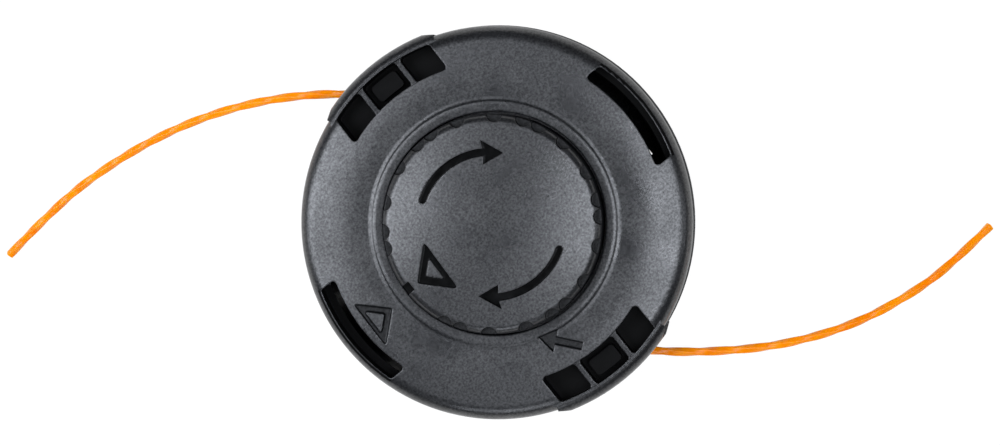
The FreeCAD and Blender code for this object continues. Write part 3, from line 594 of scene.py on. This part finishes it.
FLUTE_REACH = 29.6
FLUTE_HEIGHTS = (55.5, 57.0)
POCKET_HALF_WIDTH = 18.1
POCKET_REACHES = (47.9, 57.1)
POCKET_HEIGHTS = (38.9, 45.9)
SLOT_HALF_LENGTH = 17.4
SLOT_REACHES = (49.5, 57.3)
SLOT_HEIGHTS = (15.0, 47.6)
LIP_FOOT = 49.62
LIP_RISE = 0.6
LIP_INNER = 35.4
LIP_OUTER = 38.6


def between(value, limits):
    return limits[0] < value < limits[1]


def in_flute(spot):
    """Whether a spot of the knob, in millimetres, lies on the floor of a flute."""
    return math.hypot(spot.x, spot.y) > FLUTE_REACH and between(spot.z, FLUTE_HEIGHTS)


def in_pocket(spot):
    """Whether a spot of the cover, in millimetres, lies below the rim of a pocket or a latch slot."""
    reach = math.hypot(spot.x, spot.y)
    pocket = between(reach, POCKET_REACHES) and between(spot.z, POCKET_HEIGHTS)
    slot = between(reach, SLOT_REACHES) and between(spot.z, SLOT_HEIGHTS)
    return (pocket and abs(spot.x) < POCKET_HALF_WIDTH) or (slot and abs(spot.y) < SLOT_HALF_LENGTH)


def lower_lip(spot):
    """Turns the lip round the knob into the low soft bead of the photograph."""
    reach = math.hypot(spot.x, spot.y)
    if reach > LIP_OUTER or spot.z < LIP_FOOT:
        return spot
    low = LIP_FOOT + (spot.z - LIP_FOOT) * LIP_RISE / (cover_high - LIP_FOOT)
    t = min(max((reach - LIP_INNER) / (LIP_OUTER - LIP_INNER), 0.0), 1.0)
    bead = LIP_FOOT + LIP_RISE * (1 - t * t * (3 - 2 * t))
    return Vector((spot.x, spot.y, min(low, bead)))


# Line ends

TWIST_LENGTH = 44 * MM
HALF_SIDE = 1.13 * MM
HALF_DIAGONAL = 1.34 * MM
LINE_SIDES = 28
LINE_SHARP_ANGLE = 40
SPLINE_STEPS = 24


def spline_points(name, route):
    """Points of the smooth spline that has the route's points as its control points."""
    curve = bpy.data.curves.new(name, "CURVE")
    curve.dimensions = "3D"
    curve.resolution_u = SPLINE_STEPS
    spline = curve.splines.new("NURBS")
    spline.points.add(len(route) - 1)
    for point, place in zip(spline.points, route):
        point.co = (*(Vector(place) * MM), 1.0)
    spline.order_u = 3
    spline.use_endpoint_u = True
    holder = link(bpy.data.objects.new(name, curve))
    bpy.context.view_layer.update()
    graph = bpy.context.evaluated_depsgraph_get()
    mesh = bpy.data.meshes.new_from_object(holder.evaluated_get(graph))
    points = [v.co.copy() for v in mesh.vertices]
    bpy.data.objects.remove(holder)
    bpy.data.meshes.remove(mesh)
    return points


def square_section():
    """A rounded square around the line's centre, as (angle, radius)."""
    section = []
    for k in range(LINE_SIDES):
        a = 2 * math.pi * k / LINE_SIDES
        flat = HALF_SIDE / max(abs(math.cos(a)), abs(math.sin(a)))
        section.append((a, min(flat, HALF_DIAGONAL)))
    return section


def twisted_tube(name, points):
    """The square line along the points, turned about its own middle as it runs."""
    section = square_section()
    across = Vector((0, 0, 1))
    verts = []
    run = 0.0
    for i, here in enumerate(points):
        before = points[max(i - 1, 0)]
        after = points[min(i + 1, len(points) - 1)]
        along = (after - before).normalized()
        across = (across - along * across.dot(along)).normalized()
        side = along.cross(across)
        if i:
            run += (here - before).length
        twist = 2 * math.pi * run / TWIST_LENGTH
        for a, r in section:
            verts.append(here + r * (math.cos(a + twist) * across + math.sin(a + twist) * side))
    faces = wrapped(len(points), LINE_SIDES)
    faces.append(list(range(LINE_SIDES)))
    faces.append(list(range(len(verts) - LINE_SIDES, len(verts))))
    obj = aligned(new_mesh(name, verts, faces))
    smooth(obj.data, LINE_SHARP_ANGLE)
    paint(obj, ORANGE)
    return obj


def line_end(name, node, route):
    points = spline_points(name + "_route", route)
    obj = twisted_tube(name, points)
    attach(obj, "housing")
    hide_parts(node)


# Spring: CLOSED_RISE is how far each closed end climbs.

WIRE_RADIUS = 0.9 * MM
WIRE_SIDES = 14
COIL_TURNS = 4.6
CLOSED_TURNS = 0.8
CLOSED_RISE = 1.02 * WIRE_RADIUS
COIL_STEPS = 260
WIRE_SHARP_ANGLE = 50


def coil_height(turn, bottom, top):
    """The height of the wire's middle after that many turns."""
    left = COIL_TURNS - turn
    if turn < CLOSED_TURNS:
        return bottom + CLOSED_RISE * turn / CLOSED_TURNS
    if left < CLOSED_TURNS:
        return top - CLOSED_RISE * left / CLOSED_TURNS
    share = (turn - CLOSED_TURNS) / (COIL_TURNS - 2 * CLOSED_TURNS)
    return bottom + CLOSED_RISE + (top - bottom - 2 * CLOSED_RISE) * share


def coil_spring():
    low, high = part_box("spring")
    radius = (high.x - low.x) / 2 - WIRE_RADIUS
    verts = []
    for i in range(COIL_STEPS + 1):
        turn = COIL_TURNS * i / COIL_STEPS
        z = coil_height(turn, low.z + WIRE_RADIUS, high.z - WIRE_RADIUS)
        a = 2 * math.pi * turn
        out = Vector((math.cos(a), math.sin(a), 0))
        for k in range(WIRE_SIDES):
            b = 2 * math.pi * k / WIRE_SIDES
            rise = Vector((0, 0, z + WIRE_RADIUS * math.sin(b)))
            verts.append(out * (radius + WIRE_RADIUS * math.cos(b)) + rise)
    faces = wrapped(COIL_STEPS + 1, WIRE_SIDES)
    faces.append(list(range(WIRE_SIDES)))
    faces.append(list(range(len(verts) - WIRE_SIDES, len(verts))))
    obj = aligned(new_mesh("coil_spring", verts, faces))
    smooth(obj.data, WIRE_SHARP_ANGLE)
    paint(obj, WIRE)
    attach(obj, "housing")
    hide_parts("spring")
    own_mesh(obj)


# Threaded insert: ROOT_SHARE and FLANK_SHARE are shares of the thread's pitch.

MINOR_RADIUS = 4.3235 * MM
MAJOR_RADIUS = 5.0 * MM
PITCH = 1.25 * MM
ROOT_SHARE = 0.12
FLANK_SHARE = 0.63
MOUTH_DEPTH = 0.7 * MM
ACROSS_FLATS = 17 * MM
GROOVE_HALF_WIDTH = 1.5 * MM
GROOVE_DEPTH = 1.2 * MM
CHAMFER_HEIGHT = 0.464 * MM
INSERT_SIDES = 60
THREAD_ROWS = 112
INSERT_SHARP_ANGLE = 28


def thread_radius(z, a, bottom, top):
    """The bore's radius at a height and an angle, widened at both mouths."""
    depth = MAJOR_RADIUS - MINOR_RADIUS
    mouth = max(0.0, 1 - min(z - bottom, top - z) / MOUTH_DEPTH)
    phase = (z / PITCH + a / (2 * math.pi)) % 1.0
    rise = min(max((abs(phase - 0.5) * 2 - ROOT_SHARE) / FLANK_SHARE, 0.0), 1.0)
    return MINOR_RADIUS + depth * max(1 - rise, mouth)


def hexagon_radius(a, trim):
    turn = a % (math.pi / 3) - math.pi / 6
    return min(ACROSS_FLATS / 2 / math.cos(turn), trim)


def threaded_insert():
    low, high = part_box("drive_insert")
    bottom = low.z
    top = high.z
    middle = bottom + (top - bottom) / 2
    angles = [2 * math.pi * k / INSERT_SIDES for k in range(INSERT_SIDES)]
    verts = []
    for j in range(THREAD_ROWS + 1):
        z = bottom + (top - bottom) * j / THREAD_ROWS
        for a in angles:
            r = thread_radius(z, a, bottom, top)
            verts.append((r * math.cos(a), r * math.sin(a), z))
    flat = ACROSS_FLATS / 2
    whole = math.inf
    levels = [
        (bottom, flat),
        (bottom + CHAMFER_HEIGHT, whole),
        (middle - GROOVE_HALF_WIDTH, whole),
        (middle - GROOVE_HALF_WIDTH, flat - GROOVE_DEPTH),
        (middle + GROOVE_HALF_WIDTH, flat - GROOVE_DEPTH),
        (middle + GROOVE_HALF_WIDTH, whole),
        (top - CHAMFER_HEIGHT, whole),
        (top, flat),
    ]
    start = len(verts)
    for z, trim in levels:
        for a in angles:
            r = hexagon_radius(a, trim)
            verts.append((r * math.cos(a), r * math.sin(a), z))
    faces = wrapped(THREAD_ROWS + 1, INSERT_SIDES)
    faces += wrapped(len(levels), INSERT_SIDES, start)
    for inner, outer in ((0, start), (start - INSERT_SIDES, len(verts) - INSERT_SIDES)):
        for k in range(INSERT_SIDES):
            n = (k + 1) % INSERT_SIDES
            faces.append([inner + k, inner + n, outer + n, outer + k])
    obj = aligned(new_mesh("threaded_insert", verts, faces))
    smooth(obj.data, INSERT_SHARP_ANGLE)
    paint(obj, STEEL)
    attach(obj, "housing")
    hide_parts("drive_insert")


# Surroundings: lamps and floor in metres and watts.

COOL_WHITE = (0.88, 0.92, 1.0)
FILL_COLOUR = (0.95, 0.97, 1.0, 1)
FILL_STRENGTH = 0.12
FLOOR_HEIGHT = -0.1 * MM
FLOOR_REACH = 3
FLOOR_COLOUR = (0.9, 0.9, 0.9, 1)
FLOOR_ROUGHNESS = 0.8
GLOW_SHARE = 0.9
GLOW_STRENGTH = 1.05
LAMP_AIM = Vector((0, 0, 50)) * MM
LAMP_DISTANCE = 1.5
BOX_LENGTH = 0.9

# Boxes to the left and right of the mirrored view: name, degrees from upright, width, shift up, power.
SIDE_BOXES = (
    ("left_box", -26.5, 0.44, 0.18, 8.6),
    ("right_box", 16.0, 0.44, -0.06, 8.6),
    ("left_outer_box", -43.0, 0.44, 0.0, 8.2),
    ("right_outer_box", 33.0, 0.4, 0.0, 6.0),
)

# Boxes above and below it in the picture: name and degrees from upright.
END_BOXES = (("far_box", 24.0), ("near_box", -24.0))
END_SHIFT = 0.15
END_WIDTH = 0.4
END_LENGTH = 0.7
END_POWER = 1.25

# Low lamps for the rims: name, place across the head, power.
WING_DISTANCE = 0.9
WINGS = (
    ("left_wing", RIGHTWARD * -WING_DISTANCE, 3.0),
    ("right_wing", RIGHTWARD * WING_DISTANCE, 0.7),
    ("near_wing", UPWARD * -WING_DISTANCE, 1.8),
)
WING_RISE = Vector((0, 0, 0.48))
WING_WIDTH = 0.5
WING_HEIGHT = 0.34


def soft_light(name, place, width, height, power):
    data = bpy.data.lights.new(name, "AREA")
    data.shape = "RECTANGLE"
    data.size = width
    data.size_y = height
    data.energy = power
    data.color = COOL_WHITE
    lamp = link(bpy.data.objects.new(name, data))
    lamp.location = place
    back = (place - LAMP_AIM).normalized()
    side = UPWARD.cross(back).normalized()
    turn = Matrix((side, back.cross(side), back)).transposed()
    lamp.rotation_euler = turn.to_euler()


def seen_share(tree):
    """One for a ray from the camera or from a shiny or clear surface, else nought."""
    path = tree.nodes.new("ShaderNodeLightPath")
    total = path.outputs["Is Camera Ray"]
    for name in ("Is Glossy Ray", "Is Transmission Ray"):
        node = tree.nodes.new("ShaderNodeMath")
        node.operation = "MAXIMUM"
        tree.links.new(total, node.inputs[0])
        tree.links.new(path.outputs[name], node.inputs[1])
        total = node.outputs[0]
    return total


def plain_world():
    world = bpy.data.worlds.new("studio")
    scene.world = world
    world.use_nodes = True
    fill = world.node_tree.nodes["Background"]
    fill.inputs["Color"].default_value = FILL_COLOUR
    fill.inputs["Strength"].default_value = FILL_STRENGTH


def white_floor():
    corners = [(-1, -1), (1, -1), (1, 1), (-1, 1)]
    points = [(x * FLOOR_REACH, y * FLOOR_REACH, FLOOR_HEIGHT) for x, y in corners]
    floor = new_mesh("floor", points, [[0, 1, 2, 3]])
    material = bpy.data.materials.new("floor")
    material.use_nodes = True
    tree = material.node_tree
    base = tree.nodes["Principled BSDF"]
    base.inputs["Base Color"].default_value = FLOOR_COLOUR
    base.inputs["Roughness"].default_value = FLOOR_ROUGHNESS
    share = tree.nodes.new("ShaderNodeMath")
    share.operation = "MULTIPLY"
    share.inputs[1].default_value = GLOW_SHARE
    tree.links.new(seen_share(tree), share.inputs[0])
    glow = tree.nodes.new("ShaderNodeEmission")
    glow.inputs["Strength"].default_value = GLOW_STRENGTH
    mix = tree.nodes.new("ShaderNodeMixShader")
    tree.links.new(share.outputs[0], mix.inputs["Fac"])
    tree.links.new(base.outputs[0], mix.inputs[1])
    tree.links.new(glow.outputs[0], mix.inputs[2])
    tree.links.new(mix.outputs[0], tree.nodes["Material Output"].inputs["Surface"])
    paint(floor, material)


def overhead(direction, degrees):
    """A place at the lamps' distance, leaning from upright toward the direction."""
    a = math.radians(degrees)
    return LAMP_AIM + LAMP_DISTANCE * (direction * math.sin(a) + Vector((0, 0, math.cos(a))))


def lamps():
    for name, degrees, width, shift, power in SIDE_BOXES:
        place = overhead(RIGHTWARD, degrees) + UPWARD * shift
        soft_light(name, place, width, BOX_LENGTH, power)
    for name, degrees in END_BOXES:
        place = overhead(UPWARD, degrees) - RIGHTWARD * END_SHIFT
        soft_light(name, place, END_WIDTH, END_LENGTH, END_POWER)
    for name, across, power in WINGS:
        soft_light(name, LAMP_AIM + across + WING_RISE, WING_WIDTH, WING_HEIGHT, power)


place_camera()
line_end("trimmer_line_a", "line_a", ROUTE_A)
line_end("trimmer_line_b", "line_b", ROUTE_B)
# The sign floors, flute floors and pocket walls get darker finishes than the faces: painted shade.
dressed("bump_knob", "marked_knob", "spool", KNOB_BLACK,
        knob_cutters(), SIGN_PAINTED_SHADE, in_flute, FLUTE_PAINTED_SHADE)
dressed("cover", "marked_cover", "housing", BLACK,
        cover_cutters(), COVER_SIGN_PAINTED_SHADE, in_pocket, POCKET_PAINTED_SHADE, lower_lip)
coil_spring()
threaded_insert()
for node, material in (
    ("housing", BLACK),
    ("spool", SPOOL_BLACK),
    ("thrust_washer", STEEL),
    ("eyelet_a", ALLOY),
    ("eyelet_b", ALLOY),
    ("line_winding_lower", ORANGE),
    ("line_winding_upper", ORANGE),
):
    paint(nodes[node], material)
plain_world()
white_floor()
lamps()
scene.view_settings.view_transform = "Standard"
